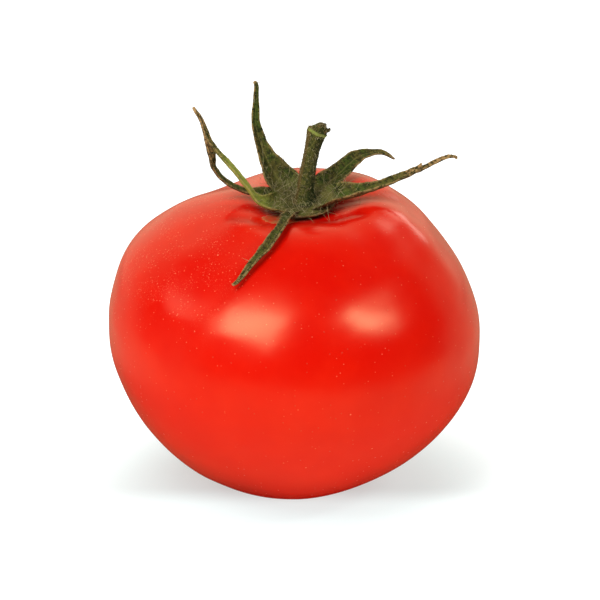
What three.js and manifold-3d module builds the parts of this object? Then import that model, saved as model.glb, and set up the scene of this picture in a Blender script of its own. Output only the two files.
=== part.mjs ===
// A ripe round tomato standing on its blossom end, in millimetres, +Z up and the front towards -Y.
// Three solids: the fruit, the calyx with its six sepals, and the stub of the stem with its broken joint.
// The origin is on the surface that the fruit rests on, under the middle of the whole.

import * as THREE from "three";
import { mergeVertices } from "three/addons/utils/BufferGeometryUtils.js";
import Module from "manifold-3d";

// Driving dimensions of the fruit
const FRUIT_DEPTH_RATIO = 0.98; // depth front to back over width
const REST_RADIUS = 8; // flat spot that the fruit stands on
const SCAR_RADIUS = 2.4; // blossom scar, a dimple in the middle of the flat spot
const SCAR_DEPTH = 0.7;
// Half section from the rim of the flat spot, round the belly, over the crest and into the stem cavity
const MERIDIAN = [
  [REST_RADIUS, 0],
  [13.6, 1.9],
  [19.6, 5.0],
  [25.0, 9.1],
  [29.8, 14.1],
  [33.8, 20.1],
  [36.5, 27.0],
  [37.2, 34.5],
  [35.7, 42.3],
  [32.2, 49.2],
  [26.9, 54.4],
  [21.3, 57.7],
  [16.7, 59.7],
  [13.2, 60.5],
  [9.6, 59.8],
  [6.6, 58.7],
  [3.6, 58.3],
];
// Sideways drift of the section's middle with height: the fruit is fuller at its upper left
const SWAY = [
  [0, -1.8],
  [5, -0.1],
  [14, 0.4],
  [24, 0.6],
  [34, 0],
  [42, -0.8],
  [50, -1.7],
  [55, -0.7],
  [60, 2.2],
];
// The fruit leans forward and to the left: rise per millimetre towards the right and towards the back
const LEAN_FROM = 8; // heights between which the lean grows to its full amount
const LEAN_FULL = 59;
const LEAN_RIGHT = 0.03;
const LEAN_BACK = 0.15;
// Swellings and furrows that run down the shoulder: azimuth and half width in degrees, rise in millimetres
const SHOULDER_FOLDS = [
  { azimuth: -14, halfWidth: 12, rise: 0.55 },
  { azimuth: 8, halfWidth: 14, rise: -0.6 },
  { azimuth: 48, halfWidth: 26, rise: 0.3 },
  { azimuth: 128, halfWidth: 32, rise: -1.3 },
  { azimuth: 176, halfWidth: 32, rise: 0.3 },
  { azimuth: 232, halfWidth: 22, rise: -0.5 },
  { azimuth: 262, halfWidth: 26, rise: 0.2 },
  { azimuth: 308, halfWidth: 18, rise: -0.3 },
];
const BASE_LOBES = 5; // shallow lobes around the blossom end
const BASE_LOBE_RISE = 0.3;
const CORK_RADIUS = 7.6; // corky ring where the calyx grew
const CORK_RISE = 0.25;
const CORK_HALF_WIDTH = 1.3;
const FRUIT_MIDDLE = 31; // height that the folds and lobes spread from
const FOLDS_FROM = 6; // radius where the shoulder folds start, just past the calyx
const FOLDS_FULL = 15;
const SHOULDER_FROM = 36; // heights between which the shoulder folds come in
const SHOULDER_FULL = 59;
const LOBES_FULL = 7; // heights between which the base lobes come and go
const LOBES_UNTIL = 30;
const LOBES_PHASE = 0.8;
const FRUIT_COLUMNS = 72;
const FRUIT_ROWS = 38;

// Driving dimensions of the calyx
const HUB = new THREE.Vector3(1.8, 0, 58.8); // underside of the calyx, just clear of the fruit
// Half section of the bowl that the sepals grow from, above HUB
const HUB_SECTION = [
  [0, 0],
  [3.2, 0],
  [5.0, 0.7],
  [6.1, 1.7],
  [5.7, 2.1],
  [4.4, 1.5],
  [2.9, 1.1],
  [0, 1.1],
];
const HUB_COLUMNS = 30;
const SEPAL_EDGE = 0.6; // blade thickness along its edges
const SEPAL_RIB = 0.9; // blade thickness along its middle
const SEPAL_ROWS = 24;
const SEPAL_COLUMNS = 4;
const SEPAL_OPENED = 0.2; // part of its length over which a blade leaves the bowl and folds
const SEPAL_WAVES = 3.5; // ripples along a blade
const SEPAL_WAVE_RISE = 0.14; // ripple height at the edges, per millimetre of width
// Each sepal: the line of its middle, its width along that line, the way its inner face looks
// at the root and at the tip, and how far its edges stand up as a part of its half width
const SEPALS = {
  upright: {
    line: [
      [1.6, 0.6, 59.7],
      [-0.9, 2.6, 61.0],
      [-2.9, 4.5, 63.4],
      [-4.0, 6.0, 65.6],
      [-5.6, 7.2, 67.6],
      [-6.9, 8.4, 70.4],
      [-7.8, 9.4, 74.0],
      [-7.6, 10.0, 78.2],
      [-7.5, 10.2, 81.0],
      [-8.0, 10.1, 81.9],
    ],
    widths: [3.5, 6.0, 5.2, 4.0, 3.1, 2.5, 1.4, 1.0, 0.8, 0.6],
    faces: [
      [0.5, -0.6, 1],
      [0.5, -1, 0.1],
    ],
    fold: 0.35,
  },
  arching: {
    line: [
      [2.0, 0.6, 59.8],
      [4.4, 3.2, 61.1],
      [6.8, 5.8, 62.4],
      [9.0, 8.2, 63.6],
      [11.7, 11.0, 65.4],
      [14.1, 13.2, 66.1],
      [17.4, 15.2, 65.6],
      [19.0, 15.8, 64.7],
      [20.2, 16.2, 63.9],
    ],
    widths: [3.5, 5.6, 4.8, 3.8, 2.5, 2.0, 1.1, 0.8, 0.5],
    faces: [
      [-0.5, -0.6, 1],
      [0.2, -0.8, 1],
    ],
    fold: 0.3,
  },
  long: {
    line: [
      [2.0, -0.4, 59.8],
      [5.4, -1.8, 60.7],
      [9.4, -2.2, 61.9],
      [13.0, -1.6, 62.7],
      [16.4, -0.6, 63.5],
      [20.0, 0.8, 64.5],
      [23.4, 2.0, 65.7],
      [26.6, 3.0, 66.9],
      [29.6, 4.0, 68.1],
      [31.4, 4.6, 68.2],
      [32.4, 4.9, 67.6],
    ],
    widths: [3.5, 6.0, 4.8, 3.6, 2.7, 2.0, 1.5, 0.9, 0.7, 0.6, 0.6],
    faces: [
      [-0.2, -0.2, 1],
      [-0.3, -0.7, 1],
    ],
    fold: 0.5,
  },
  spur: {
    line: [
      [21.8, 1.6, 65.0],
      [23.6, 1.7, 66.0],
      [25.0, 1.7, 67.6],
    ],
    widths: [1.2, 0.9, 0.5],
    faces: [
      [-0.6, -0.7, 0.5],
      [-0.6, -0.7, 0.5],
    ],
    fold: 0.2,
  },
  drooping: {
    line: [
      [1.4, -0.8, 59.7],
      [0.2, -4.2, 59.7],
      [-0.9, -6.9, 59.9],
      [-1.8, -10.4, 60.0],
      [-2.6, -13.9, 59.7],
      [-3.7, -16.3, 58.7],
      [-5.3, -18.8, 57.2],
      [-7.0, -20.7, 55.9],
      [-8.5, -22.3, 54.6],
      [-9.8, -23.8, 53.3],
      [-11.0, -24.9, 52.2],
      [-11.9, -25.2, 51.8],
    ],
    widths: [3, 2.6, 1.3, 1.3, 1.5, 1.8, 1.8, 1.6, 1.4, 1.1, 0.7, 0.6],
    faces: [
      [0, -0.3, 1],
      [-0.3, -0.8, 1],
    ],
    fold: 0.4,
  },
  leftFront: {
    line: [
      [1.4, -0.6, 59.8],
      [-2.6, -2.4, 60.1],
      [-6.6, -3.7, 61.2],
      [-8.9, -4.0, 64.2],
      [-12.0, -4.0, 68.2],
      [-15.4, -3.2, 72.0],
      [-16.9, -2.5, 74.0],
      [-18.1, -2.0, 77.4],
      [-19.7, -2.0, 80.0],
    ],
    widths: [3, 5.4, 2.8, 1.1, 1.0, 1.0, 1.2, 1.1, 0.5],
    faces: [
      [0.6, -0.4, 1],
      [1, -0.6, 0.4],
    ],
    fold: 0.25,
  },
  leftBack: {
    line: [
      [1.4, 0.4, 59.8],
      [-2.6, 1.2, 60.4],
      [-6.3, 1.3, 61.4],
      [-10.0, 1.0, 62.2],
      [-13.6, 0.5, 64.3],
      [-15.6, -0.2, 67.0],
      [-16.3, -1.0, 70.0],
      [-17.1, -2.0, 74.0],
      [-18.1, -2.1, 77.4],
      [-19.6, -2.1, 79.9],
    ],
    widths: [3, 5.6, 3.4, 1.2, 0.8, 0.7, 1.7, 1.3, 1.0, 0.5],
    faces: [
      [0.5, -0.2, 1],
      [1, -0.7, 0.3],
    ],
    fold: 0.25,
  },
};

// Driving dimensions of the stem
const STEM_LINE = [
  [2.0, 0, 60.75],
  [2.2, 0, 63.4],
  [2.6, 0.3, 66.4],
  [3.1, 0.6, 69.0],
  [3.8, 0.9, 71.4],
  [4.5, 1.3, 73.6],
  [5.2, 1.6, 75.5],
];
// Half section of the stem: radius against the part of its length, with the knuckle where it broke off
const STEM_SECTION = [
  [0, 0],
  [1.5, 0],
  [2.0, 0.02],
  [1.8, 0.12],
  [1.62, 0.28],
  [1.48, 0.45],
  [1.48, 0.6],
  [1.62, 0.72],
  [1.85, 0.8],
  [2.05, 0.83],
  [1.85, 0.86],
  [2.05, 0.92],
  [1.8, 0.98],
  [1.2, 1.0],
  [0.6, 0.95],
  [0, 0.97],
];
const STEM_COLUMNS = 18;
const STEM_RIBS = 5;
const STEM_RIB_RISE = 0.07; // part of the radius
const STEM_TWIST = 2; // radians that the ribs turn from foot to joint
const STEM_FOOT = 0.25; // part of the length that follows the lean of the fruit
const BREAK_FROM = 0.9; // part of the length where the broken end starts
const BREAK_RISE = 0.35; // roughness of the broken end
const BREAK_LOBES = 3;

const wasm = await Module();
wasm.setup();

function toPoints(list) {
  return list.map((values) => new THREE.Vector3(...values));
}

// The value at a place along a list of [place, value] pairs, on a smooth curve through them
function valueAt(pairs, place) {
  const last = pairs.length - 1;
  if (place <= pairs[0][0]) return pairs[0][1];
  if (place >= pairs[last][0]) return pairs[last][1];
  const next = pairs.findIndex(([at]) => at > place);
  const [from, start] = pairs[next - 1];
  const [to, end] = pairs[next];
  return THREE.MathUtils.lerp(start, end, THREE.MathUtils.smoothstep(place, from, to));
}

// Moves every vertex of a geometry by a rule and leaves only its positions
function reshaped(geometry, rule) {
  geometry.deleteAttribute("normal");
  geometry.deleteAttribute("uv");
  const merged = mergeVertices(geometry, 1e-4);
  const positions = merged.getAttribute("position");
  const point = new THREE.Vector3();
  for (let i = 0; i < positions.count; i += 1) {
    rule(point.fromBufferAttribute(positions, i));
    positions.setXYZ(i, point.x, point.y, point.z);
  }
  return merged;
}

// A surface of revolution about Z from a section of [radius, height] pairs
function turned(section, columns) {
  const profile = section.map(([radius, height]) => new THREE.Vector2(radius, height));
  return new THREE.LatheGeometry(profile, columns).rotateX(Math.PI / 2);
}

function toSolid(geometry) {
  return new wasm.Manifold(
    new wasm.Mesh({
      numProp: 3,
      vertProperties: new Float32Array(geometry.getAttribute("position").array),
      triVerts: new Uint32Array(geometry.index.array),
    }),
  );
}

function toGeometry(solid) {
  const { vertProperties, triVerts } = solid.getMesh();
  return new THREE.BufferGeometry()
    .setAttribute("position", new THREE.BufferAttribute(vertProperties, 3))
    .setIndex(new THREE.BufferAttribute(triVerts, 1));
}

// 1 in the middle of a fold and 0 past its half width
function foldWeight(azimuth, fold) {
  const apart = THREE.MathUtils.euclideanModulo(azimuth - fold.azimuth + 180, 360) - 180;
  const part = Math.min(Math.abs(apart) / fold.halfWidth, 1);
  return (1 + Math.cos(part * Math.PI)) / 2;
}

function leanRise(point) {
  return LEAN_RIGHT * point.x + LEAN_BACK * point.y;
}

function shapeFruit(point) {
  const radius = Math.hypot(point.x, point.y);
  const height = point.z;
  const degrees = THREE.MathUtils.radToDeg(Math.atan2(point.y, point.x));

  // Folds of the shoulder, which die out at the belly and under the calyx
  const upper = THREE.MathUtils.smoothstep(height, SHOULDER_FROM, SHOULDER_FULL);
  const shoulder = upper * THREE.MathUtils.smoothstep(radius, FOLDS_FROM, FOLDS_FULL);
  let rise = 0;
  for (const fold of SHOULDER_FOLDS) rise += fold.rise * foldWeight(degrees, fold) * shoulder;

  // Lobes of the blossom end, which die out at the flat spot and at the belly
  const coming = THREE.MathUtils.smoothstep(height, 0, LOBES_FULL);
  const going = 1 - THREE.MathUtils.smoothstep(height, LOBES_FULL, LOBES_UNTIL);
  rise += BASE_LOBE_RISE * Math.cos((BASE_LOBES * degrees * Math.PI) / 180 + LOBES_PHASE) * coming * going;

  // Both move the skin along the line from the middle of the fruit
  const scale = 1 + rise / Math.hypot(radius, height - FRUIT_MIDDLE);
  point.x *= scale;
  point.y *= scale * FRUIT_DEPTH_RATIO;
  point.z = FRUIT_MIDDLE + (height - FRUIT_MIDDLE) * scale;

  if (height > FRUIT_MIDDLE) {
    const cork = Math.max(0, 1 - Math.abs(radius - CORK_RADIUS) / CORK_HALF_WIDTH);
    point.z += CORK_RISE * THREE.MathUtils.smoothstep(cork, 0, 1);
  }
  point.z += leanRise(point) * THREE.MathUtils.smoothstep(height, LEAN_FROM, LEAN_FULL);
  point.x += valueAt(SWAY, height);
}

function fruitGeometry() {
  const curve = new THREE.SplineCurve(MERIDIAN.map((pair) => new THREE.Vector2(...pair)));
  const skin = curve.getSpacedPoints(FRUIT_ROWS).map(({ x, y }) => [x, Math.max(y, 0)]);
  const scar = [
    [0, SCAR_DEPTH],
    [SCAR_RADIUS / 2, SCAR_DEPTH],
    [SCAR_RADIUS, 0],
  ];
  const [floorRadius, floorHeight] = MERIDIAN.at(-1);
  const floor = [
    [floorRadius / 2, floorHeight],
    [0, floorHeight],
  ];
  const section = [...scar, ...skin, ...floor];
  return reshaped(turned(section, FRUIT_COLUMNS), shapeFruit);
}

// A thin closed blade: an inner and an outer face over the same grid, split along the same diagonals
function bladeGeometry({ line, widths, faces, fold }, phase) {
  const curve = new THREE.CatmullRomCurve3(toPoints(line));
  const [rootFace, tipFace] = toPoints(faces);
  const steps = widths.map((width, step) => [step, width]);
  const positions = [];
  for (let row = 0; row <= SEPAL_ROWS; row += 1) {
    const along = row / SEPAL_ROWS;
    const middle = curve.getPoint(along);
    const tangent = curve.getTangent(along);
    const across = new THREE.Vector3().lerpVectors(rootFace, tipFace, along).cross(tangent).normalize();
    const inward = new THREE.Vector3().crossVectors(tangent, across).normalize();
    const opened = THREE.MathUtils.smoothstep(along, 0, SEPAL_OPENED);
    const width = valueAt(steps, along * (widths.length - 1));
    for (let column = 0; column <= SEPAL_COLUMNS; column += 1) {
      const side = (column / SEPAL_COLUMNS) * 2 - 1;
      const ripple = Math.sin(along * SEPAL_WAVES * 2 * Math.PI + phase + side) * Math.abs(side);
      const lift = opened * width * ((fold * side * side) / 2 + SEPAL_WAVE_RISE * ripple);
      const thickness = THREE.MathUtils.lerp(Math.min(SEPAL_RIB, width), SEPAL_EDGE, side * side);
      const inner = middle.clone().addScaledVector(across, (side * width) / 2).addScaledVector(inward, lift);
      const outer = inner.clone().addScaledVector(inward, -thickness);
      positions.push(...inner.toArray(), ...outer.toArray());
    }
  }

  // The number of an inner corner; the outer corner behind it has the next one
  const corner = (row, column) => (row * (SEPAL_COLUMNS + 1) + column) * 2;
  const index = [];
  for (let row = 0; row < SEPAL_ROWS; row += 1) {
    for (let column = 0; column < SEPAL_COLUMNS; column += 1) {
      const a = corner(row, column);
      const b = corner(row, column + 1);
      const c = corner(row + 1, column + 1);
      const d = corner(row + 1, column);
      index.push(a, c, b, a, d, c);
      index.push(a + 1, b + 1, c + 1, a + 1, c + 1, d + 1);
    }
  }
  const rim = [];
  for (let column = 0; column < SEPAL_COLUMNS; column += 1) rim.push(corner(0, column));
  for (let row = 0; row < SEPAL_ROWS; row += 1) rim.push(corner(row, SEPAL_COLUMNS));
  for (let column = SEPAL_COLUMNS; column > 0; column -= 1) rim.push(corner(SEPAL_ROWS, column));
  for (let row = SEPAL_ROWS; row > 0; row -= 1) rim.push(corner(row, 0));
  rim.forEach((a, i) => {
    const b = rim[(i + 1) % rim.length];
    index.push(a, b, b + 1, a, b + 1, a + 1);
  });
  return new THREE.BufferGeometry()
    .setAttribute("position", new THREE.Float32BufferAttribute(positions, 3))
    .setIndex(index);
}

function hubGeometry() {
  return reshaped(turned(HUB_SECTION, HUB_COLUMNS), (point) => {
    point.add(HUB);
    point.z += leanRise(point);
  });
}

function calyxGeometry() {
  let calyx = toSolid(hubGeometry());
  Object.values(SEPALS).forEach((sepal, index) => {
    calyx = calyx.add(toSolid(bladeGeometry(sepal, index)));
  });
  return toGeometry(calyx);
}

function stemGeometry() {
  const curve = new THREE.CatmullRomCurve3(toPoints(STEM_LINE));
  const back = new THREE.Vector3(0, 1, 0);
  return reshaped(turned(STEM_SECTION, STEM_COLUMNS), (point) => {
    const along = THREE.MathUtils.clamp(point.z, 0, 1);
    const azimuth = Math.atan2(point.y, point.x);
    const ribs = 1 + STEM_RIB_RISE * Math.cos(STEM_RIBS * azimuth + STEM_TWIST * along);
    const radius = Math.hypot(point.x, point.y) * ribs;
    const broken = THREE.MathUtils.smoothstep(along, BREAK_FROM, 1);
    const rough = broken * BREAK_RISE * Math.sin(BREAK_LOBES * (azimuth + radius));
    const tangent = curve.getTangent(along);
    const right = new THREE.Vector3().crossVectors(back, tangent).normalize();
    const behind = new THREE.Vector3().crossVectors(tangent, right);
    curve.getPoint(along, point);
    point.addScaledVector(right, radius * Math.cos(azimuth));
    point.addScaledVector(behind, radius * Math.sin(azimuth));
    point.addScaledVector(tangent, rough);
    point.z += leanRise(point) * (1 - THREE.MathUtils.smoothstep(along, 0, STEM_FOOT));
  });
}

function mesh(name, geometry, material) {
  const made = new THREE.Mesh(geometry, new THREE.MeshStandardMaterial(material));
  made.name = name;
  return made;
}

const tomato = new THREE.Group();
tomato.name = "tomato";
tomato.add(
  mesh("fruit", fruitGeometry(), { color: 0xe4200a, roughness: 0.3, metalness: 0 }),
  mesh("calyx", calyxGeometry(), { color: 0x5a6128, roughness: 0.8, metalness: 0 }),
  mesh("stem", stemGeometry(), { color: 0x566027, roughness: 0.8, metalness: 0 }),
);

export default tomato;
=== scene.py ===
"""A ripe tomato: waxy skin, a hairy half dried calyx and a broken stem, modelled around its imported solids."""

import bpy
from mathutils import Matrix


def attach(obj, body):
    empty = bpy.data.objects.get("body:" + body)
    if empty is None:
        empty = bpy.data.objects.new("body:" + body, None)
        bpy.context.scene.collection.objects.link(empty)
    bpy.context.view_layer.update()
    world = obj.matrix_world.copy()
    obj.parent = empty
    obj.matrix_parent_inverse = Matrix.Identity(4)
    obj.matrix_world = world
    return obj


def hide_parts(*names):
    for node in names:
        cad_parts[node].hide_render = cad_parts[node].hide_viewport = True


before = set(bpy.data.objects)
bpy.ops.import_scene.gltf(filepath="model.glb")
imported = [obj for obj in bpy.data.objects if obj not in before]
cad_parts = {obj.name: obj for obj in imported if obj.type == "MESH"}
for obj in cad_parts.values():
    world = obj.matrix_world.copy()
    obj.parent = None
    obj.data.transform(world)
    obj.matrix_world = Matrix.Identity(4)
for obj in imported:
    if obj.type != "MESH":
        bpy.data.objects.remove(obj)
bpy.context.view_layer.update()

import math

import bpy
import numpy as np
from mathutils import Quaternion, Vector, kdtree, noise

bl_info = {
    "name": "Tomato",
    "version": (1, 0, 0),
    "blender": (4, 5, 0),
    "location": "View3D > Sidebar > Tomato",
    "description": "Models the skin, calyx, stem and hairs of a ripe tomato",
    "category": "Add Mesh",
}

MM = 0.001

# Lines that the solids follow, in millimetres: the middle of the calyx's bowl, the rise of the crown per
# millimetre to the right and to the back, the half section of the bowl and the middle of the stem
HUB = (1.8, 0, 58.8)
CROWN_LEAN = (0.03, 0.15)
HUB_SECTION = [(0, 0), (3.2, 0), (5.0, 0.3), (6.3, 0.9), (6.1, 1.4), (4.4, 1.2), (2.9, 1.1), (0, 1.1)]
STEM_LINE = [(2, 0, 60.2), (2.2, 0, 63.4), (2.6, 0.3, 66.4), (3.1, 0.6, 69), (3.65, 0.9, 71.4),
             (4.25, 1.3, 73.6), (4.9, 1.6, 75.5)]

# Parts of the stem's length and its radius there in millimetres
STEM_SECTION = [(0, 2.6), (0.04, 2.1), (0.12, 1.75), (0.28, 1.6), (0.45, 1.46), (0.6, 1.46), (0.72, 1.6),
                (0.82, 1.85), (0.865, 2.05), (0.89, 1.88), (0.94, 2.0), (0.985, 1.85), (1, 1.4)]

# Each sepal: the line of its middle and its width along it, the way its inner face looks at the root and
# at the tip, how far its edges stand up, how tightly its margins roll, the part of its length from which
# it is dry, and how pale its lower half is
SEPALS = {
    "upright": {
        "line": [(1.6, 0.6, 59.7), (-0.9, 2.6, 61), (-3.3, 4.5, 63.4), (-4.7, 6, 65.6), (-5.8, 7.2, 67.6),
                 (-6.9, 8.4, 70.4), (-7.8, 9.4, 74), (-7.6, 10, 78.2), (-7.5, 10.2, 81), (-8, 10.1, 81.9)],
        "widths": [3.5, 7.8, 7.9, 5.8, 3.8, 2.7, 1.7, 1.1, 0.8, 0.3],
        "faces": [(0.5, -0.6, 1), (0.5, -1, 0.1)],
        "fold": 0.3,
        "roll": 0.2,
        "dries": 0.82,
        "pale": 0,
    },
    "arching": {
        "line": [(2, 0.6, 59.8), (4.4, 3.2, 61.1), (6.8, 5.8, 62.4), (9, 8.2, 63.6), (11.7, 11, 65.4),
                 (14.1, 13.1, 66.1), (17, 14.9, 66), (19, 15.8, 65.1), (20.4, 16.2, 64.1)],
        "widths": [3.5, 6.2, 5.8, 4.8, 3.6, 2.5, 1.3, 0.7, 0.25],
        "faces": [(-0.5, -0.6, 1), (0.2, -0.8, 1)],
        "fold": 0.25,
        "roll": 0.15,
        "dries": 0.72,
        "pale": 0,
    },
    "long": {
        "line": [(2, -0.4, 59.8), (5.4, -1.8, 60.7), (9.4, -2.2, 61.9), (13, -1.6, 62.7), (16.4, -0.6, 63.5),
                 (20, 0.8, 64.5), (23.4, 2, 65.7), (26.6, 3, 66.9), (29.6, 4, 68.1), (31.4, 4.6, 68.2),
                 (32.4, 4.9, 67.6)],
        "widths": [3.5, 6.4, 5.4, 3.6, 2.3, 1.7, 1.4, 0.6, 0.5, 0.45, 0.25],
        "faces": [(-0.2, -0.2, 1), (-0.3, -0.7, 1)],
        "fold": 0.5,
        "roll": 0.3,
        "dries": 0.45,
        "pale": 0.1,
    },
    "spur": {
        "line": [(21.8, 1.6, 65), (23.6, 1.7, 66), (25, 1.7, 67.6)],
        "widths": [1.2, 0.9, 0.25],
        "faces": [(-0.6, -0.7, 0.5), (-0.6, -0.7, 0.5)],
        "fold": 0.2,
        "roll": 0,
        "dries": -0.4,
        "pale": 0,
    },
    "drooping": {
        "line": [(1.4, -0.8, 59.7), (0.2, -4.2, 59.6), (-0.9, -6.9, 59.7), (-1.8, -10.4, 59.8),
                 (-2.6, -13.9, 59.4), (-3.7, -16.3, 58.4), (-5.3, -18.8, 56.9), (-7, -20.7, 55.6),
                 (-8.5, -22.3, 54.3), (-9.8, -23.8, 53), (-11, -24.9, 51.9), (-11.9, -25.4, 51.4)],
        "widths": [3, 2.6, 1.9, 1.7, 1.7, 1.8, 1.8, 1.5, 1.1, 0.7, 0.5, 0.35],
        "faces": [(0, -0.3, 1), (-0.3, -0.8, 1)],
        "fold": 0.5,
        "roll": 0.35,
        "dries": 0.66,
        "pale": 0,
    },
    "leftFront": {
        "line": [(1.4, -0.6, 59.8), (-2.6, -2.4, 60.1), (-6.6, -3.7, 61.2), (-8.9, -4, 64.2), (-12, -4, 68.2),
                 (-15.4, -3.2, 72), (-16.9, -2.5, 74), (-18.1, -2, 77.4), (-19.7, -2, 80)],
        "widths": [3, 5.6, 2.8, 1.2, 1.1, 1, 1.1, 0.9, 0.3],
        "faces": [(0.6, -0.4, 1), (1, -0.6, 0.4)],
        "fold": 0.25,
        "roll": 0.6,
        "dries": 0.62,
        "pale": 1,
    },
    "leftBack": {
        "line": [(1.4, 0.4, 59.8), (-2.6, 1.2, 60.4), (-6.3, 1.3, 61.4), (-10, 1, 62.2), (-13.6, 0.5, 64.3),
                 (-15.6, -0.2, 67), (-16.3, -1, 70), (-17.1, -2, 74), (-18.1, -2.1, 77.4),
                 (-19.6, -2.1, 79.9)],
        "widths": [3, 5.6, 3.4, 1.4, 1.1, 1.6, 2.2, 1.5, 0.9, 0.3],
        "faces": [(0.5, -0.2, 1), (1, -0.7, 0.3)],
        "fold": 0.25,
        "roll": 0.3,
        "dries": 0.42,
        "pale": 0,
    },
}

# Small folds of the skin beside the calyx: both ends seen from above, height and width in millimetres
FOLDS = [
    ((-12, -5.8), (-5.8, -8.4), -0.26, 1.4),
    ((-10, -9), (-5, -14.5), 0.22, 1.4),
    ((6.5, -6.8), (12.5, -6), -0.26, 1.5),
]

# Steps of the modelled meshes, and the seeds of the random draws
EASING_ROUNDS = 90
SEPAL_ROWS = 110
SEPAL_COLUMNS = 16
BOWL_SIDES = 48
STEM_RINGS = 110
STEM_SIDES = 56
HAIR_CUTS = (0.2, 0.4, 0.6, 0.8)
CALYX_HAIR_SEED = 11
STEM_HAIR_SEED = 12

# The soft boxes: azimuth (0 is the front, 90 the right), elevation and roll in degrees, width and height in
# metres, and how high in millimetres is what they face and how far off in metres they stand
FRUIT_MIDDLE = 35
BOX_DISTANCE = 0.9
SOFT_BOXES = {
    "front_left": (-34, 49, 0, 0.50, 0.50),
    "front_right": (60, 43, -30, 0.37, 0.13),
    "side_left": (-88, 42, -49, 0.38, 0.20),
    "back": (143, 36, 0, 0.30, 0.50),
    "low": (-75, 8, 0, 0.50, 0.40),
}

# How far back in the room, of 1, the bright wall starts and is full
WALL_EDGES = (0.12, 0.85)

# The camera: its place in metres, its tilt up from straight down in degrees, its lens and sensor in
# millimetres, the nearest thing that it sees in metres, and how far the picture is shifted, in pixels of the
# photograph
CAMERA_PLACE = (0, -0.5666, 0.2372)
CAMERA_TILT = 70
CAMERA_LENS = 180
CAMERA_SENSOR = 36
CAMERA_NEAREST = 0.01
PICTURE_SHIFT = (5.5, 40.1)
PICTURE_WIDTH = 600


# Shader arithmetic


class Value:
    """A number that changes over a surface; arithmetic on it adds Math nodes."""

    def __init__(self, nodes, socket):
        self.nodes = nodes
        self.socket = socket

    def math(self, operation, *values, clamp=False):
        sockets = dict(enumerate(values))
        made = self.nodes.node("ShaderNodeMath", {"operation": operation, "use_clamp": clamp}, sockets)
        return Value(self.nodes, made.outputs[0])

    def __add__(self, other):
        return self.math("ADD", self, other)

    __radd__ = __add__

    def __sub__(self, other):
        return self.math("SUBTRACT", self, other)

    def __rsub__(self, other):
        return self.math("SUBTRACT", other, self)

    def __mul__(self, other):
        return self.math("MULTIPLY", self, other)

    __rmul__ = __mul__

    def __truediv__(self, other):
        return self.math("DIVIDE", self, other)

    def __pow__(self, other):
        return self.math("POWER", self, other)

    def __abs__(self):
        return self.math("ABSOLUTE", self)

    def high(self, other):
        return self.math("MAXIMUM", self, other)

    def clamped(self):
        return self.math("ADD", self, 0, clamp=True)

    def between(self, start, end):
        """0 at start and 1 at end, smoothly."""
        settings = {"interpolation_type": "SMOOTHSTEP"}
        sockets = {"Value": self, "From Min": start, "From Max": end}
        return Value(self.nodes, self.nodes.node("ShaderNodeMapRange", settings, sockets).outputs[0])


class Nodes:
    """A node tree, built one node at a time."""

    def __init__(self, tree):
        self.tree = tree
        self.tree.nodes.clear()

    def node(self, kind, settings=None, sockets=None):
        made = self.tree.nodes.new(kind)
        for name, value in (settings or {}).items():
            setattr(made, name, value)
        for name, value in (sockets or {}).items():
            target = made.inputs[name]
            if isinstance(value, Value):
                value = value.socket
            if isinstance(value, bpy.types.NodeSocket):
                self.tree.links.new(value, target)
            else:
                target.default_value = value
        return made

    def rays(self, kind):
        """1 for rays of one kind, such as Camera, and 0 for others."""
        return Value(self, self.node("ShaderNodeLightPath").outputs[f"Is {kind} Ray"])

    def axes(self, place):
        """X, Y and Z of a place."""
        parts = self.node("ShaderNodeSeparateXYZ", None, {0: place}).outputs
        return [Value(self, part) for part in parts]

    def mix(self, factor, first, second, blend="MIX"):
        made = self.node("ShaderNodeMix", {"data_type": "RGBA", "blend_type": blend},
                         {0: factor, 6: first, 7: second})
        return made.outputs[2]


class Finish(Nodes):
    """A material on Object coordinates."""

    def __init__(self, name):
        self.material = bpy.data.materials.new(name)
        self.material.use_nodes = True
        super().__init__(self.material.node_tree)
        self.place = self.node("ShaderNodeTexCoord").outputs["Object"]

    def attribute(self, name):
        return Value(self, self.node("ShaderNodeAttribute", {"attribute_name": name}).outputs["Fac"])

    def millimetres(self):
        """X, Y and Z in millimetres."""
        return [axis / MM for axis in self.axes(self.place)]

    def noise(self, scale, detail=2, roughness=0.5):
        sockets = {"Vector": self.place, "Scale": scale, "Detail": detail, "Roughness": roughness}
        return Value(self, self.node("ShaderNodeTexNoise", None, sockets).outputs[0])

    def cells(self, scale):
        """Distance to the nearest cell's middle and a random number of that cell."""
        made = self.node("ShaderNodeTexVoronoi", {"feature": "F1"}, {"Vector": self.place, "Scale": scale})
        parts = self.node("ShaderNodeSeparateColor", None, {0: made.outputs["Color"]}).outputs
        return Value(self, made.outputs["Distance"]), Value(self, parts[0])

    def bump(self, height, distance, strength):
        sockets = {"Height": height, "Distance": distance, "Strength": strength}
        return self.node("ShaderNodeBump", None, sockets).outputs[0]

    def shade(self, **sockets):
        """Ends the material in one Principled shader; a name's underscores stand for spaces."""
        named = {name.replace("_", " "): value for name, value in sockets.items()}
        shader = self.node("ShaderNodeBsdfPrincipled", None, named)
        self.node("ShaderNodeOutputMaterial", None, {"Surface": shader.outputs[0]})
        return self.material


def colour(values):
    return (*values, 1.0)


def flat_length(x, y):
    return (x * x + y * y) ** 0.5


# Shapes


def smooth(value, start, end):
    part = np.clip((value - start) / (end - start), 0, 1)
    return part * part * (3 - 2 * part)


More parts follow.
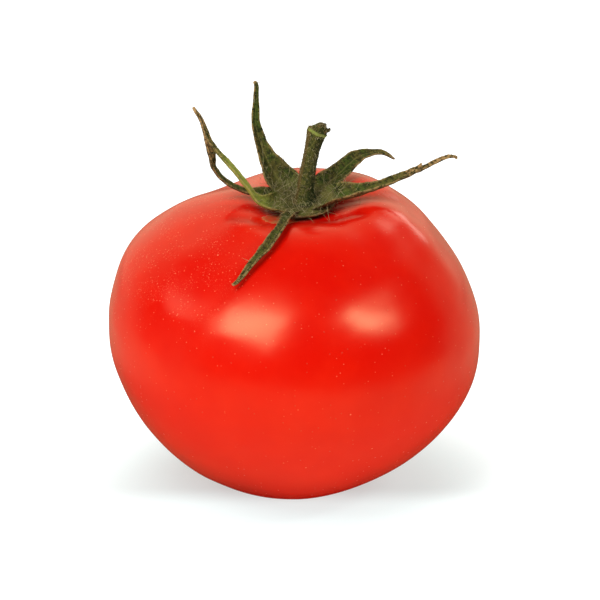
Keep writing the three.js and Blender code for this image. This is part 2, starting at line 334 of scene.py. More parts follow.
def on_line(points, part):
    """Points of a smooth curve through the given ones, and its directions, at parts of its length."""
    points = np.array(points, float)
    last = len(points) - 1
    at = np.clip(part, 0, 1) * last
    index = np.minimum(at.astype(int), last - 1)
    t = (at - index)[:, None]
    before = np.where(index[:, None] > 0, points[index - 1], 2 * points[0] - points[1])
    after_index = np.minimum(index + 2, last)
    beyond = 2 * points[last] - points[last - 1]
    after = np.where((index + 2 <= last)[:, None], points[after_index], beyond)
    a, b = points[index], points[index + 1]
    m0, m1 = (b - before) / 2, (after - a) / 2
    place = (2 * t**3 - 3 * t**2 + 1) * a + (t**3 - 2 * t**2 + t) * m0
    place += (-2 * t**3 + 3 * t**2) * b + (t**3 - t**2) * m1
    way = (6 * t**2 - 6 * t) * (a - b) + (3 * t**2 - 4 * t + 1) * m0 + (3 * t**2 - 2 * t) * m1
    return place, way / np.linalg.norm(way, axis=1, keepdims=True)


def along_values(values, part):
    """A smooth curve through evenly spaced values."""
    pairs = [(value, 0, step) for step, value in enumerate(values)]
    return on_line(pairs, part)[0][:, 0]


def rough(points, scale, seed):
    """Smooth noise from -1 to 1 at each point, with lumps of the given size in millimetres."""
    shift = Vector((seed * 7.31, seed * 3.77, seed * 5.13))
    return np.array([noise.noise(Vector(p) / scale + shift) for p in points])


def from_segment(points, start, end):
    """Distance of each flat point from the line between two others."""
    start, way = np.array(start), np.subtract(end, start)
    part = np.clip((points - start) @ way / (way @ way), 0, 1)
    return np.linalg.norm(points - start - part[:, None] * way, axis=1)


def corners(piece):
    count = len(piece.data.vertices)
    values = np.empty(count * 3, np.float32)
    piece.data.vertices.foreach_get("co", values)
    return values.reshape(count, 3).astype(float) / MM


def normals(piece):
    count = len(piece.data.vertices)
    values = np.empty(count * 3, np.float32)
    piece.data.vertices.foreach_get("normal", values)
    return values.reshape(count, 3).astype(float)


def move(piece, points):
    """Puts every vertex at a point given in millimetres."""
    piece.data.vertices.foreach_set("co", (np.asarray(points) * MM).astype(np.float32).ravel())
    piece.data.update()


def store(piece, name, values):
    attribute = piece.data.attributes.new(name, "FLOAT", "POINT")
    attribute.data.foreach_set("value", np.asarray(values, np.float32))


def pick(*pieces):
    bpy.ops.object.select_all(action="DESELECT")
    for piece in pieces:
        piece.select_set(True)
    bpy.context.view_layer.objects.active = pieces[0]


def apply_modifier(piece, kind, **settings):
    pick(piece)
    modifier = piece.modifiers.new(kind.lower(), kind)
    for name, value in settings.items():
        setattr(modifier, name, value)
    bpy.ops.object.modifier_apply(modifier=modifier.name)


def joined(name, pieces):
    pick(*pieces)
    bpy.ops.object.join()
    piece = bpy.context.active_object
    piece.name = name
    piece.data.name = name
    return piece


def turned(name, section, sides):
    """Spins a half section of (radius, height) in millimetres round Z into a closed piece."""
    data = bpy.data.meshes.new(name)
    points = [(radius * MM, 0, height * MM) for radius, height in section]
    data.from_pydata(points, [(i, i + 1) for i in range(len(points) - 1)], [])
    piece = bpy.data.objects.new(name, data)
    bpy.context.scene.collection.objects.link(piece)
    pick(piece)
    bpy.ops.object.mode_set(mode="EDIT")
    bpy.ops.mesh.select_all(action="SELECT")
    bpy.ops.mesh.spin(steps=sides, angle=2 * math.pi, center=(0, 0, 0), axis=(0, 0, 1))
    bpy.ops.mesh.select_all(action="SELECT")
    bpy.ops.mesh.remove_doubles(threshold=0.002 * MM)
    bpy.ops.mesh.normals_make_consistent(inside=False)
    bpy.ops.object.mode_set(mode="OBJECT")
    return piece


def finish_piece(piece, material, node=None):
    piece.data.materials.clear()
    piece.data.materials.append(material)
    pick(piece)
    bpy.ops.object.shade_smooth()
    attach(piece, "root")
    if node:
        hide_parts(node)


# Settings


def number(name, description, default, **rest):
    return bpy.props.FloatProperty(name=name, description=description, default=default, **rest)


def length(name, description, default):
    return number(name, description, default * MM, unit="LENGTH", subtype="DISTANCE", precision=5)


def paint(name, description, default):
    return bpy.props.FloatVectorProperty(name=name, description=description, default=default, size=3,
                                         subtype="COLOR", min=0, max=1)


class TomatoSkin(bpy.types.PropertyGroup):
    red: paint("Red", "Colour of the ripe skin", (0.66, 0.0025, 0.0003))
    # Deep red is painted shade at the foot, in the folds and in the cavity, and also the colour of the pores
    deep_red: paint("Deep red", "Colour of the stem's cavity and of the folds", (0.48, 0.0015, 0.0003))
    # Orange in the lower half is a painted reflection of the floor; in the mottling it is the skin's own tone
    orange: paint("Orange", "Colour of the lower half and of the faint mottling", (0.78, 0.013, 0.002))
    speck: paint("Speck", "Colour of the fine pale specks", (0.95, 0.30, 0.17))
    cork: paint("Cork", "Colour of the corky scar at the stem", (0.36, 0.075, 0.02))
    cork_rim: paint("Cork rim", "Colour of the scar's dry rim", (0.50, 0.19, 0.07))
    gloss: number("Roughness", "Roughness of the wax", 0.235, min=0, max=1)
    lumps: length("Lumps", "Height of the skin's slow unevenness", 0.09)


class TomatoLeaf(bpy.types.PropertyGroup):
    olive: paint("Olive", "Main colour of the sepals", (0.080, 0.068, 0.012))
    green: paint("Green", "Colour of their fresher parts", (0.047, 0.071, 0.007))
    # Dark is the fine dark mottling, and also painted shade round the foot of the stem
    dark: paint("Dark", "Colour of their hollows", (0.014, 0.015, 0.003))
    straw: paint("Straw", "Colour of the fine light grain", (0.22, 0.20, 0.055))
    brown: paint("Brown", "Colour of the dried parts", (0.105, 0.056, 0.018))
    tan: paint("Tan", "Colour of the dried edges and tips", (0.42, 0.25, 0.10))
    pale: paint("Pale strand", "Colour of the rolled strand at the left", (0.24, 0.27, 0.04))
    hair: paint("Hair", "Colour of the hairs", (0.38, 0.33, 0.16))
    thickness: length("Thickness", "Thickness of a sepal at its middle", 0.62)
    grain: length("Grain", "Size of the remeshed faces", 0.17)
    hair_length: length("Hair length", "Usual length of a hair", 1.45)
    hair_width: length("Hair width", "Thickness of a hair at its root", 0.13)
    hair_count: bpy.props.IntProperty(name="Hairs", description="Number of hairs on the calyx", default=760)


class TomatoStalk(bpy.types.PropertyGroup):
    olive: paint("Olive", "Colour of the lit side", (0.085, 0.080, 0.013))
    # The green is painted shade on the stem's right side, and also its fine dark grain
    green: paint("Green", "Colour of the fresher side", (0.012, 0.022, 0.003))
    brown: paint("Brown", "Colour of the dry streaks", (0.10, 0.055, 0.016))
    ring: paint("Ring", "Colour of the joint's ring", (0.23, 0.27, 0.05))
    straw: paint("Straw", "Colour of the fine light grain", (0.20, 0.17, 0.045))
    grain: length("Grain", "Size of the remeshed faces", 0.11)
    hair_count: bpy.props.IntProperty(name="Hairs", description="Number of hairs on the stem", default=1100)


class TomatoStage(bpy.types.PropertyGroup):
    floor: paint("Floor", "Colour of the floor", (0.33, 0.38, 0.38))
    # Floor in gloss and floor beside are painted reflections: the floor shows the skin a colour of its own
    floor_gloss: paint("Floor in gloss", "Colour of the floor as the skin mirrors it", (0.20, 0.14, 0.08))
    # The shade tint and the floor glow paint the fruit's shadow onto the floor near it
    shade: paint("Shade", "Tint of the light that the floor gives off near the fruit", (0.82, 1.0, 1.0))
    floor_glow: number("Floor glow", "Light that the floor gives off towards the camera", 0.54)
    floor_lift: number("Floor lift", "Light that it gives off onto matt surfaces", 1.2)
    floor_beside: number("Floor beside", "Light beside the fruit as the skin mirrors it", 0.4)
    floor_size: number("Floor size", "Side of the floor", 8.0, unit="LENGTH", subtype="DISTANCE")
    front_left: number("Front left", "Radiance of the left soft box", 9.5)
    front_right: number("Front right", "Radiance of the right soft box", 14.5)
    side_left: number("Side left", "Radiance of the small box at the far left", 1.9)
    back: number("Back", "Radiance of the box behind the right side", 2.8)
    low: number("Low", "Radiance of the low fill at the left, which leaves no highlight", 1.6)
    room: number("Room", "Brightness of the room in front", 0.04)
    backdrop: number("Backdrop", "Brightness of the far wall", 0.95)
    wall: paint("Wall", "Colour of the light from the far wall", (1.0, 0.84, 0.56))


# The fruit


class TOMATO_OT_fruit(bpy.types.Operator):
    """Smooth waxy fruit with its corky scar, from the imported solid"""

    bl_idname = "tomato.fruit"
    bl_label = "Fruit"

    def execute(self, context):
        settings = context.scene.tomato_skin
        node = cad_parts["fruit"]
        piece = node.copy()
        piece.data = node.data.copy()
        piece.name = piece.data.name = "fruit_skin"
        for key in list(piece.keys()):
            del piece[key]
        piece.parent = None
        context.scene.collection.objects.link(piece)
        pick(piece)
        bpy.ops.object.mode_set(mode="EDIT")
        bpy.ops.mesh.select_all(action="SELECT")
        bpy.ops.mesh.remove_doubles(threshold=0.005 * MM)
        bpy.ops.mesh.tris_convert_to_quads(face_threshold=math.radians(30), shape_threshold=math.radians(60))
        bpy.ops.object.mode_set(mode="OBJECT")
        apply_modifier(piece, "SUBSURF", levels=2, render_levels=2)

        # The facets of the solid are eased out of the shoulder round the calyx
        points = corners(piece)
        eased = piece.vertex_groups.new(name="shoulder")
        from_hub = np.linalg.norm(points[:, :2] - HUB[:2], axis=1)
        weights = (1 - smooth(from_hub, 15, 24)) * smooth(points[:, 2], 48, 54) * smooth(from_hub, 3, 5)
        for index in np.flatnonzero(weights > 0.01):
            eased.add([int(index)], float(weights[index]), "REPLACE")
        apply_modifier(piece, "SMOOTH", factor=0.5, iterations=EASING_ROUNDS, vertex_group="shoulder")

        # The folds rise and sink, and each point keeps how deep in a furrow it lies
        points = corners(piece)
        upper = smooth(points[:, 2], 46, 52)
        crease = np.zeros(len(points))
        for start, end, height, width in FOLDS:
            fold = upper * np.exp(-((from_segment(points[:, :2], start, end) / width) ** 2))
            points[:, 2] += height * fold
            crease = np.maximum(crease, fold * (height < 0))
        move(piece, points)
        store(piece, "crease", crease)

        # The rest of the skin is slightly uneven, but for the flat spot that the fruit stands on
        out = normals(piece)
        above_floor = smooth(points[:, 2], 0.2, 3)
        lumps = rough(points, 11, 1) + 0.5 * rough(points, 5, 2)
        points += out * (lumps * settings.lumps / MM * above_floor)[:, None]
        move(piece, points)
        finish_piece(piece, skin_finish(settings), "fruit")
        return {"FINISHED"}


def skin_finish(settings):
    finish = Finish("tomato_skin")
    x, y, z = finish.millimetres()
    right, back = x - HUB[0], y - HUB[1]
    from_hub = flat_length(right, back)
    top = z.between(50, 56)

    # Orange in slow mottling, and orange in the lower half as a painted reflection of the bright floor
    mottle = finish.noise(90, 3, 0.6)
    lower = 1 - z.between(14, 46)
    ripe = lower * 0.7 + mottle.between(0.35, 0.75) * 0.3
    base = finish.mix(ripe, colour(settings.red), colour(settings.orange))
    # Painted shade: deeper red at the foot by the floor, in the furrows and in the stem's cavity
    base = finish.mix((1 - z.between(3, 15)) * 0.5, base, colour(settings.deep_red))
    base = finish.mix(finish.attribute("crease") * 0.7, base, colour(settings.deep_red))
    hollow = (1 - from_hub.between(5, 13)) * top
    base = finish.mix(hollow * 0.8, base, colour(settings.deep_red))

    # Fine pale specks, thick on the left shoulder and thin elsewhere, a few larger flecks, and dust
    shoulder = (1 - x.between(-24, 2)) * z.between(36, 52)
    clump = finish.noise(260, 2, 0.5)
    from_middle, chance = finish.cells(1500)
    kept = (0.06 + shoulder * clump.between(0.3, 0.6) * 0.85 - chance).between(0, 0.05)
    specks = (1 - from_middle.between(0.12, 0.24)) * kept
    from_middle, chance = finish.cells(470)
    kept = (0.05 + shoulder * 0.05 - chance).between(0, 0.01)
    ragged = from_middle + (finish.noise(5200, 2, 0.6) - 0.5) * 0.16
    flecks = (1 - ragged.between(0.04, 0.09)) * kept
    dust = finish.noise(4300, 3, 0.65).between(0.57, 0.68) * shoulder * clump.between(0.35, 0.6)
    specks = (specks * 0.32 + dust * 0.26 + flecks * 0.6).clamped()
    base = finish.mix(specks, base, colour(settings.speck))

    # The corky scar shows as a patch in front of the calyx at the left
    wobble = finish.noise(700, 4, 0.65)
    toward = ((right * -0.62 + back * -0.785) / from_hub.high(0.1)).between(0.84, 0.99)
    reach = 4.4 + toward * 5.7 + (wobble - 0.5) * 3.5
    cork = (1 - (from_hub - reach).between(-0.5, 0.4)) * top
    rim = (1 - abs(from_hub - reach).between(0.05, 0.5)) * toward * top
    base = finish.mix(cork * wobble.between(0.3, 0.6) * 0.85, base, colour(settings.cork))
    base = finish.mix(cork * clump.between(0.45, 0.6) * 0.45, base, colour(settings.cork_rim))
    base = finish.mix(rim * wobble.between(0.42, 0.56) * 0.7, base, colour(settings.cork_rim))

    # Dark pores in the wax
    from_middle, chance = finish.cells(900)
    pores = (1 - from_middle.between(0.05, 0.16)) * (0.22 - chance).between(0, 0.03)
    base = finish.mix(pores * 0.7, base, colour(settings.deep_red))

    grain = finish.noise(2600, 2, 0.5)
    wax = finish.noise(260, 4, 0.6)
    rough_wax = settings.gloss + (wax - 0.5) * 0.08 + cork * 0.4 + pores * 0.5
    height = grain * 0.25 + wax * 0.5 + specks * 0.8 - pores * 1.5 + cork * wobble * 6
    normal = finish.bump(height, 0.02 * MM, 0.8)
    return finish.shade(Base_Color=base, Roughness=rough_wax, Normal=normal, Specular_IOR_Level=0.56,
                        Specular_Tint=(1.0, 0.74, 0.38, 1.0), Subsurface_Weight=0.12,
                        Subsurface_Radius=(1.0, 0.12, 0.05), Subsurface_Scale=2.5 * MM)


# The calyx


def blade(name, sepal, phase, thickness):
    """One sepal, a grid laid along its line and thickened, and what mark_leaf has to know of its points."""
    bpy.ops.mesh.primitive_grid_add(x_subdivisions=SEPAL_COLUMNS, y_subdivisions=SEPAL_ROWS, size=1)
    piece = bpy.context.active_object
    piece.name = name
    flat = corners(piece) * MM
    side, part = flat[:, 0] * 2, flat[:, 1] + 0.5
    middle, way = on_line(sepal["line"], part)
    width = np.maximum(along_values(sepal["widths"], part), 0.3)
    looks = np.array(sepal["faces"], float)
    look = looks[0] * (1 - part[:, None]) + looks[1] * part[:, None]
    across = np.cross(look, way)
    across /= np.linalg.norm(across, axis=1, keepdims=True)
    inward = np.cross(way, across)
    opened = smooth(part, 0, 0.2)

    # Margins curl up and over, the midrib is a groove, and the blade ripples along its length
    curl = sepal["roll"] * opened * np.abs(side) ** 3
    ripple = np.sin(part * 22 + phase + side) * np.abs(side) + 0.5 * np.sin(part * 51 + 2 * phase - 2 * side)
    waves = np.minimum(width, 1.8) * 0.07 * ripple * np.abs(side)
    lift = opened * (width * sepal["fold"] * side**2 / 2 + waves)
    groove = -0.10 * np.minimum(width, 2) * np.exp(-((side / 0.16) ** 2)) * opened
    points = middle + across * (side * width / 2 * (1 - 0.35 * curl))[:, None]
    points += inward * (lift + groove + curl * width * 0.25)[:, None]
    crinkle = rough(points, 1.6, phase + 3) * 0.16 + rough(points, 0.7, phase + 9) * 0.06
    points += inward * (crinkle * opened)[:, None]
    move(piece, points)
    ribbed = piece.vertex_groups.new(name="rib")
    stout = (1 - np.abs(side)) * (1 - 0.8 * smooth(part, 0.75, 1))
    for index, weight in enumerate(stout):
        ribbed.add([index], float(max(0.0, weight)), "REPLACE")
    apply_modifier(piece, "SOLIDIFY", thickness=thickness, offset=1, use_rim=True, vertex_group="rib",
                   thickness_vertex_group=0.55)
    dry = smooth(part, sepal["dries"], sepal["dries"] + 0.4)
    pale = sepal["pale"] * smooth(part, 0.12, 0.25) * (1 - smooth(part, 0.5, 0.66))
    facts = np.stack([part, side, pale, dry], 1)
    return piece, points, inward, facts


class TOMATO_OT_calyx(bpy.types.Operator):
    """Hairy bowl and six sepals grown together"""

    bl_idname = "tomato.calyx"
    bl_label = "Calyx"

    def execute(self, context):
        settings = context.scene.tomato_leaf
        hub = turned("calyx_bowl", HUB_SECTION, BOWL_SIDES)
        points = corners(hub) + HUB
        points[:, 2] += points[:, :2] @ CROWN_LEAN
        move(hub, points)
        pieces, places, inwards, facts = [hub], [], [], []
        for phase, (name, sepal) in enumerate(SEPALS.items()):
            piece, points, inward, fact = blade(name, sepal, phase, settings.thickness)
            pieces.append(piece)
            places.append(points)
            inwards.append(inward)
            facts.append(fact)
        calyx = joined("calyx_leaf", pieces)
        apply_modifier(calyx, "REMESH", mode="VOXEL", voxel_size=settings.grain)
        apply_modifier(calyx, "SMOOTH", factor=0.5, iterations=4)
        mark_leaf(calyx, np.concatenate(places), np.concatenate(inwards), np.concatenate(facts))
        finish_piece(calyx, leaf_finish(settings), "calyx")
        return {"FINISHED"}


def mark_leaf(calyx, places, inwards, facts):
    """Stores on each point how far along and across its sepal it lies, on which face, and how dry it is."""
    tree = kdtree.KDTree(len(places))
    for index, place in enumerate(places):
        tree.insert(place, index)
    tree.balance()
    points, out = corners(calyx), normals(calyx)
    nearest = np.array([tree.find(point)[1] for point in points])
    part, side, pale, dry = facts[nearest].T
    inner = np.einsum("ij,ij->i", inwards[nearest], out)
    from_hub = np.linalg.norm(points[:, :2] - HUB[:2], axis=1)
    away = smooth(from_hub, 5, 9)
    store(calyx, "part", part)
    store(calyx, "side", side * away)
    store(calyx, "edge", smooth(np.abs(side), 0.72, 1.0) * away)
    store(calyx, "pale", pale * away)
    store(calyx, "dry", dry)
    below = points[:, 2] - points[:, :2] @ CROWN_LEAN - HUB[2]
    rim = smooth(from_hub, 5, 5.8) * (1 - smooth(from_hub, 6.8, 7.6)) * (1 - smooth(below, 0.9, 1.5))
    store(calyx, "rim", rim)
    store(calyx, "inner", smooth(inner, -0.3, 0.3))


def leaf_finish(settings):
    finish = Finish("calyx_leaf")
    part, side, edge = (finish.attribute(name) for name in ("part", "side", "edge"))
    pale, dry, inner = (finish.attribute(name) for name in ("pale", "dry", "inner"))
    rim = finish.attribute("rim")
    patches = finish.noise(330, 3, 0.6)
    fine = finish.noise(1500, 4, 0.72)
    grit = finish.noise(3600, 2, 0.6)
    base = finish.mix(patches.between(0.42, 0.6), colour(settings.olive), colour(settings.green))
    base = finish.mix(dry * patches.between(0.25, 0.55) * 0.9, base, colour(settings.brown))
    base = finish.mix(dry * fine.between(0.46, 0.58) * 0.9, base, colour(settings.tan))
    base = finish.mix((1 - inner) * 0.7, base, colour(settings.brown))
    base = finish.mix(pale * 0.95, base, colour(settings.pale))
    base = finish.mix((1 - fine.between(0.40, 0.54)) * (0.85 - pale * 0.6), base, colour(settings.dark))
    base = finish.mix(grit.between(0.56, 0.68) * fine.between(0.42, 0.6) * 0.7, base, colour(settings.straw))
    midrib = 1 - abs(side).between(0.02, 0.14)
    base = finish.mix(midrib * (1 - pale) * 0.35, base, colour(settings.straw))
    base = finish.mix(edge.high(rim) * fine.between(0.38, 0.56) * 0.55, base, colour(settings.tan))
    # Painted shade: darker in patches round the foot of the stem
    x, y, _ = finish.millimetres()
    foot = 1 - flat_length(x - HUB[0], y - HUB[1]).between(3.2, 5.4)
    base = finish.mix(foot * patches.between(0.3, 0.6) * 0.75, base, colour(settings.dark))
    base = finish.mix(part.between(0.95, 0.995) * 0.7, base, colour(settings.tan))
    height = fine * 0.7 + patches * 0.8 + grit * 0.25
    normal = finish.bump(height, 0.16 * MM, 0.9)
    return finish.shade(Base_Color=base, Roughness=0.75 - pale * 0.15, Normal=normal, Specular_IOR_Level=0.15)


# The stem


class TOMATO_OT_stem(bpy.types.Operator):
    """Ribbed stub with the ring of its joint and a torn end"""

    bl_idname = "tomato.stem"
    bl_label = "Stem"

    def execute(self, context):
        settings = context.scene.tomato_stalk
        parts, radii = np.array(STEM_SECTION).T
        steps = np.linspace(0, 1, STEM_RINGS)
        section = [(0, 0), *zip(np.interp(steps, parts, radii), steps), (0, 1)]
        piece = turned("stem_stub", section, STEM_SIDES)
        flat = corners(piece)
        part = flat[:, 2]
        middle, way = on_line(STEM_LINE, part)
        azimuth = np.arctan2(flat[:, 1], flat[:, 0])
        radius = np.hypot(flat[:, 0], flat[:, 1])
        radius *= 1 + 0.05 * np.cos(5 * azimuth + 2 * part) + 0.03 * np.sin(9 * azimuth - 5 * part)
        knob = np.exp(-((azimuth / 0.5) ** 2)) * smooth(part, 0.9, 0.94) * (1 - smooth(part, 0.97, 1))
        radius += 0.45 * knob * (radius > 1)
        right = np.cross((0, 1, 0), way)
        right /= np.linalg.norm(right, axis=1, keepdims=True)
        behind = np.cross(way, right)
        points = middle + right * (radius * np.cos(azimuth))[:, None]
        points += behind * (radius * np.sin(azimuth))[:, None]
        foot = 1 - smooth(part, 0, 0.25)
        points[:, 2] += points[:, :2] @ CROWN_LEAN * foot
        broken = smooth(part, 0.86, 1)
        worn = smooth(-np.cos(azimuth) * radius, 0, 1.9)
        tear = rough(points, 1.1, 21) * 0.9 + rough(points, 0.45, 22) * 0.4
        points += way * (broken * (tear - 1.2 * worn))[:, None]
        grain = rough(points, 0.8, 23) * 0.07
        points += (points - middle) * (grain / np.maximum(radius, 0.5))[:, None]
        move(piece, points)
        apply_modifier(piece, "REMESH", mode="VOXEL", voxel_size=settings.grain)
        apply_modifier(piece, "SMOOTH", factor=0.5, iterations=2)
        finish_piece(piece, stalk_finish(settings), "stem")
        return {"FINISHED"}


def stalk_finish(settings):
    finish = Finish("stem_stalk")
    x, _, z = finish.millimetres()
    patches = finish.noise(500, 3, 0.6)
    fine = finish.noise(1600, 4, 0.72)
    grit = finish.noise(3600, 2, 0.6)
    across = x - (z - 60) * 0.2
    # Painted shade: the right side of the stem takes the dark green, the lit left side the olive
    shaded_side = (across + patches * 2).between(1.6, 4.2)
    base = finish.mix(shaded_side, colour(settings.olive), colour(settings.green))
    base = finish.mix(patches.between(0.5, 0.7) * 0.4, base, colour(settings.brown))
    base = finish.mix((1 - fine.between(0.42, 0.56)) * 0.8, base, colour(settings.green))
    base = finish.mix((1 - (across - 0.1).between(0, 0.5)) * 0.7, base, colour(settings.brown))
    tilt = z + x * 0.5 + fine * 0.5 - 76.55
    joint = z.between(70, 71.5)
    end = tilt.between(0.2, 0.9) * joint
    base = finish.mix(end * patches.between(0.35, 0.6) * 0.8, base, colour(settings.brown))
    base = finish.mix(grit.between(0.54, 0.66) * 0.42, base, colour(settings.straw))
    ring = (1 - abs(tilt).between(0.16, 0.5)) * joint
    base = finish.mix(ring * (fine.between(0.36, 0.56) * 0.5 + 0.4), base, colour(settings.ring))
    normal = finish.bump(fine * 0.8 + grit * 0.3, 0.16 * MM, 0.9)
    return finish.shade(Base_Color=base, Roughness=0.72, Normal=normal, Specular_IOR_Level=0.15)


# Hairs


def hair_shape():
    """The points and faces of one straight hair, 1 long: a three-sided needle."""
    bpy.ops.mesh.primitive_cone_add(vertices=3, radius1=1, radius2=0.15, depth=1, end_fill_type="NGON")
    piece = bpy.context.active_object
    bpy.ops.object.mode_set(mode="EDIT")
    for cut in HAIR_CUTS:
        bpy.ops.mesh.select_all(action="SELECT")
        bpy.ops.mesh.bisect(plane_co=(0, 0, cut - 0.5), plane_no=(0, 0, 1))
    bpy.ops.object.mode_set(mode="OBJECT")
    points = np.array([vertex.co for vertex in piece.data.vertices])
    points[:, 2] += 0.5
    faces = [list(face.vertices) for face in piece.data.polygons]
    bpy.data.objects.remove(piece)
    return points, faces


def grow_hairs(name, piece, count, settings, seed, weigh, stretch):
    """Hairs on a piece as one mesh; weigh says how thickly they grow and stretch how long they are."""
    rng = np.random.default_rng(seed)
    shape, faces = hair_shape()
    data = piece.data
    middles = np.array([face.center for face in data.polygons]) / MM
    outs = np.array([face.normal for face in data.polygons])
    areas = np.array([face.area for face in data.polygons])
    chance = areas * weigh(middles, outs)
    chosen = rng.choice(len(middles), size=count, p=chance / chance.sum())
    root, out = middles[chosen], outs[chosen]
    way = out + 1.1 * rng.normal(size=(count, 3))
    way += out * np.maximum(0.25 - np.einsum("ij,ij->i", way, out), 0)[:, None]
    way /= np.linalg.norm(way, axis=1, keepdims=True)
    curl = rng.normal(size=(count, 3)) * 0.6
    curl -= out * np.maximum(np.einsum("ij,ij->i", curl, out), 0)[:, None]
    reach = settings.hair_length / MM * rng.gamma(1.8, 0.55, count) * stretch(root)
    width = settings.hair_width / MM / 2 * rng.uniform(0.5, 1.3, count)
    helper = np.where(np.abs(way[:, :1]) > 0.8, [[0, 1, 0]], [[1, 0, 0]])
    a = np.cross(way, helper)
    a /= np.linalg.norm(a, axis=1, keepdims=True)
    b = np.cross(way, a)
    turn = rng.uniform(0, 2 * math.pi, count)
    t = shape[:, 2]
    points = root[:, None, :] - out[:, None, :] * 0.05
    points = points + way[:, None, :] * (t[None, :, None] * reach[:, None, None])
    points = points + curl[:, None, :] * (t[None, :, None] ** 2 * reach[:, None, None])
    swing = np.sin(t[None, :] * 6 + turn[:, None]) - np.sin(turn)[:, None]
    points = points + a[:, None, :] * (swing * reach[:, None] * 0.16)[:, :, None]
    points = points + a[:, None, :] * (shape[None, :, 0] * width[:, None])[:, :, None]
    points = points + b[:, None, :] * (shape[None, :, 1] * width[:, None])[:, :, None]
    step = len(shape)
    all_faces = [[corner + step * hair for corner in face] for hair in range(count) for face in faces]
    made = bpy.data.meshes.new(name)
    made.from_pydata((points.reshape(-1, 3) * MM).tolist(), [], all_faces)
    hairs = bpy.data.objects.new(name, made)
    bpy.context.scene.collection.objects.link(hairs)
    pick(hairs)
    bpy.ops.object.mode_set(mode="EDIT")
    bpy.ops.mesh.select_all(action="SELECT")
    bpy.ops.mesh.normals_make_consistent(inside=False)
    bpy.ops.object.mode_set(mode="OBJECT")
    return hairs


def hair_finish(settings):
    finish = Finish("plant_hair")
    tone = finish.noise(700, 2, 0.5)
    base = finish.mix(tone.between(0.35, 0.65) * 0.6, colour(settings.hair), colour(settings.brown))
    return finish.shade(Base_Color=base, Roughness=0.55, Specular_IOR_Level=0.35)


class TOMATO_OT_hairs(bpy.types.Operator):
    """Fine curly hairs on the calyx and short ones on the stem"""

    bl_idname = "tomato.hairs"
    bl_label = "Hairs"

    def execute(self, context):
        settings = context.scene.tomato_leaf
        material = hair_finish(settings)

        def near_bowl(points):
            return 1 - smooth(np.linalg.norm(points[:, :2] - HUB[:2], axis=1), 4, 14)

        def on_calyx(points, outs):
            return (0.35 + 0.9 * near_bowl(points)) * np.where(outs[:, 2] > -0.1, 1, 0.25)

        def long_on_calyx(points):
            return 0.4 + 0.9 * near_bowl(points)

        calyx = bpy.data.objects["calyx_leaf"]
        hairs = grow_hairs("calyx_hairs", calyx, settings.hair_count, settings, CALYX_HAIR_SEED, on_calyx,
                           long_on_calyx)
        finish_piece(hairs, material)

        def on_stem(points, outs):
            return np.ones(len(points))

        def short_on_stem(points):
            return np.full(len(points), 0.26)

        stem = bpy.data.objects["stem_stub"]
        count = context.scene.tomato_stalk.hair_count
        hairs = grow_hairs("stem_hairs", stem, count, settings, STEM_HAIR_SEED, on_stem, short_on_stem)
        finish_piece(hairs, material)
        return {"FINISHED"}


# The stage


def soft_box(name, radiance):
    """A rectangle of light that faces the fruit."""
    azimuth, elevation, roll, width, height = SOFT_BOXES[name]
    a, e = math.radians(azimuth), math.radians(elevation)
    way = Vector((math.sin(a) * math.cos(e), -math.cos(a) * math.cos(e), math.sin(e)))
    aim = Vector((0, 0, FRUIT_MIDDLE * MM))
    bpy.ops.object.light_add(type="AREA", location=aim + way * BOX_DISTANCE)
    light = bpy.context.active_object
    light.name = "box_" + name
    turn = Quaternion((0, 0, 1), math.radians(roll))
    light.rotation_euler = (way.to_track_quat("Z", "Y") @ turn).to_euler()
    light.data.shape = "RECTANGLE"
    light.data.size = width
    light.data.size_y = height
    light.data.energy = radiance * width * height * math.pi
    light.visible_camera = False
    return light


def floor_finish(settings):
    """A pale matt floor that gives off a soft light of its own, less of it beside the fruit as painted shadow.
    """
    finish = Finish("pale_floor")
    x, y, _ = finish.millimetres()
    radius = flat_length(x, y)
    # The glow that the camera sees paints the fruit's shadow: dimmer near it, brighter in front, darker at the
    # left
    far = radius.between(22, 62)
    front = 1 - y.between(-13, -2)
    left = 1 - x.between(-34, -12)
    painted_shadow_glow = settings.floor_glow + far * 0.58 + (front * 0.26 - left * 0.08) * (1 - far)
    glow = finish.rays("Camera") * painted_shadow_glow + finish.rays("Diffuse") * settings.floor_lift
    tint = finish.mix(far, colour(settings.shade), colour((1, 1, 1)))
    direct = finish.mix(1.0, tint, glow, "MULTIPLY")

    # What the shiny skin mirrors is a painted reflection: darker and warmer than the floor, brighter only at
    # both sides of the fruit
    beside = radius.between(45, 120) * abs(x).between(20, 110) * y.between(-90, 0)
    mirrored = finish.mix(1.0, colour(settings.wall), beside * settings.floor_beside, "MULTIPLY")
    in_gloss = finish.rays("Glossy")
    base = finish.mix(in_gloss, colour(settings.floor), colour(settings.floor_gloss))
    light = finish.mix(in_gloss, direct, mirrored)
    return finish.shade(Base_Color=base, Roughness=0.9, Specular_IOR_Level=0.0, Emission_Color=light,
                        Emission_Strength=1.0)


def make_room(settings):
    """A dim room with a bright warm wall far behind, white where the camera sees it."""
    world = bpy.data.worlds.new("room")
    world.use_nodes = True
    nodes = Nodes(world.node_tree)
    way = nodes.node("ShaderNodeTexCoord").outputs["Generated"]
    _, behind, _ = nodes.axes(way)
    wall = settings.room + behind.between(*WALL_EDGES) * (settings.backdrop - settings.room)
    in_camera = nodes.rays("Camera")
    tone = nodes.mix(in_camera, colour(settings.wall), colour((1, 1, 1)))
    light = nodes.node("ShaderNodeBackground", None, {"Color": tone, "Strength": wall.high(in_camera)})
    nodes.node("ShaderNodeOutputWorld", None, {"Surface": light.outputs[0]})
    return world


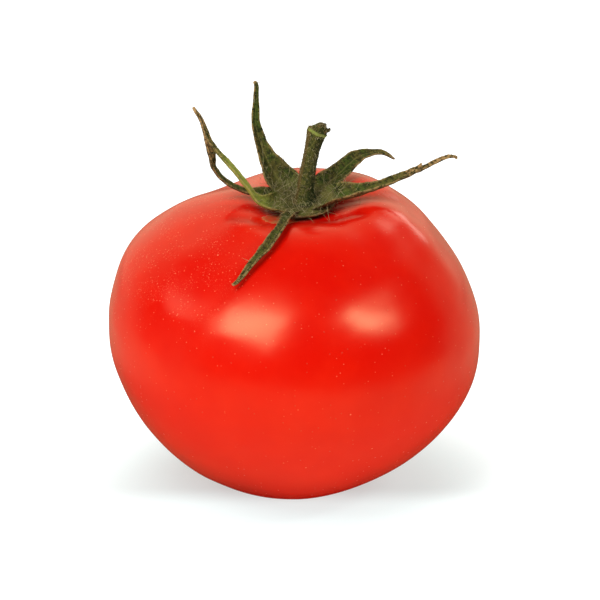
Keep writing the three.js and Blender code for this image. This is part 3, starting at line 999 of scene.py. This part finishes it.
def add_camera():
    """A camera at the photograph's angle."""
    tilt = math.radians(CAMERA_TILT)
    bpy.ops.object.camera_add(location=CAMERA_PLACE, rotation=(tilt, 0, 0))
    camera = bpy.context.active_object
    camera.name = "camera"
    camera.data.lens = CAMERA_LENS
    camera.data.sensor_width = CAMERA_SENSOR
    camera.data.shift_x = PICTURE_SHIFT[0] / PICTURE_WIDTH
    camera.data.shift_y = PICTURE_SHIFT[1] / PICTURE_WIDTH
    camera.data.clip_start = CAMERA_NEAREST
    return camera


class TOMATO_OT_stage(bpy.types.Operator):
    """Pale floor, soft lights and the camera at the photograph's angle"""

    bl_idname = "tomato.stage"
    bl_label = "Stage"

    def execute(self, context):
        settings = context.scene.tomato_stage
        bpy.ops.object.select_all(action="DESELECT")
        bpy.ops.mesh.primitive_plane_add(size=settings.floor_size, location=(0, 0, 0))
        floor = context.active_object
        floor.name = "floor"
        floor.data.materials.append(floor_finish(settings))
        for name in SOFT_BOXES:
            light = soft_box(name, getattr(settings, name))
            light.visible_glossy = name != "low"
        context.scene.world = make_room(settings)
        context.scene.camera = add_camera()
        context.scene.view_settings.view_transform = "Standard"
        return {"FINISHED"}


class TOMATO_PT_panel(bpy.types.Panel):
    bl_label = "Tomato"
    bl_space_type = "VIEW_3D"
    bl_region_type = "UI"
    bl_category = "Tomato"

    def draw(self, context):
        for group in GROUPS:
            box = self.layout.box()
            settings = getattr(context.scene, group)
            for name in settings.__annotations__:
                box.prop(settings, name)
        for operator in OPERATORS:
            self.layout.operator(operator.bl_idname)


GROUPS = {
    "tomato_skin": TomatoSkin,
    "tomato_leaf": TomatoLeaf,
    "tomato_stalk": TomatoStalk,
    "tomato_stage": TomatoStage,
}
OPERATORS = (TOMATO_OT_fruit, TOMATO_OT_calyx, TOMATO_OT_stem, TOMATO_OT_hairs, TOMATO_OT_stage)


def register():
    for group, kind in GROUPS.items():
        bpy.utils.register_class(kind)
        setattr(bpy.types.Scene, group, bpy.props.PointerProperty(type=kind))
    for kind in (*OPERATORS, TOMATO_PT_panel):
        bpy.utils.register_class(kind)


def unregister():
    for kind in reversed((*OPERATORS, TOMATO_PT_panel)):
        bpy.utils.unregister_class(kind)
    for group, kind in reversed(GROUPS.items()):
        delattr(bpy.types.Scene, group)
        bpy.utils.unregister_class(kind)


def main():
    register()
    bpy.ops.tomato.fruit()
    bpy.ops.tomato.calyx()
    bpy.ops.tomato.stem()
    bpy.ops.tomato.hairs()
    bpy.ops.tomato.stage()


if __name__ == "__main__":
    main()
